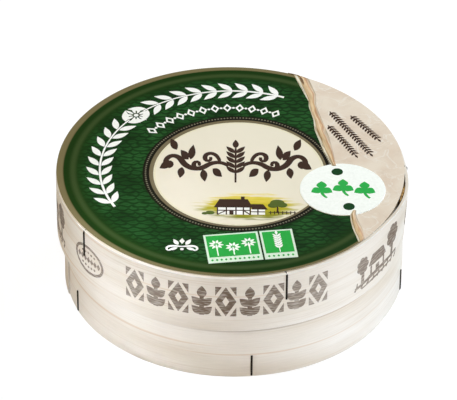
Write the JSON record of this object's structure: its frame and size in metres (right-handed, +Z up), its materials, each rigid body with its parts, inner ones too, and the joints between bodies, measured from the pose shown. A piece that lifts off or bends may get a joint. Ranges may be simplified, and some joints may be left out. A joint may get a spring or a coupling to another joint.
{
  "type": "boxed camembert cheese",
  "caption": "Shut round box of bent poplar veneer that holds a soft ripened cheese, with stapled hoops, an overlapping lid and a dark green printed paper label on top.",
  "frame": {"origin": "middle of the underside of the base, on the plane that the box stands on", "axes": "+Z up through the lid, -Y towards the front of the picture, +X to its right"},
  "size_m": [0.1154, 0.1156, 0.0418],
  "materials": {
    "veneer": "matte, fine straight grain round the hoop, brown stamped ornament on the lid",
    "board": "matte, straight grain across the board",
    "label": "satin print: dark green field, olive rim, cream medallion and cream side",
    "staple": "dull drawn wire"
  },
  "bodies": {
    "root": {"base_core": "board", "base_hoop": "veneer", "lid_board": "board", "lid_hoop": "veneer", "lid_label": "label", "base_staple_1": "staple", "base_staple_2": "staple", "base_staple_3": "staple", "base_staple_4": "staple", "base_staple_5": "staple", "lid_staple_1": "staple", "lid_staple_2": "staple", "lid_staple_3": "staple", "lid_staple_4": "staple", "lid_staple_5": "staple"}
  },
  "joints": []
}
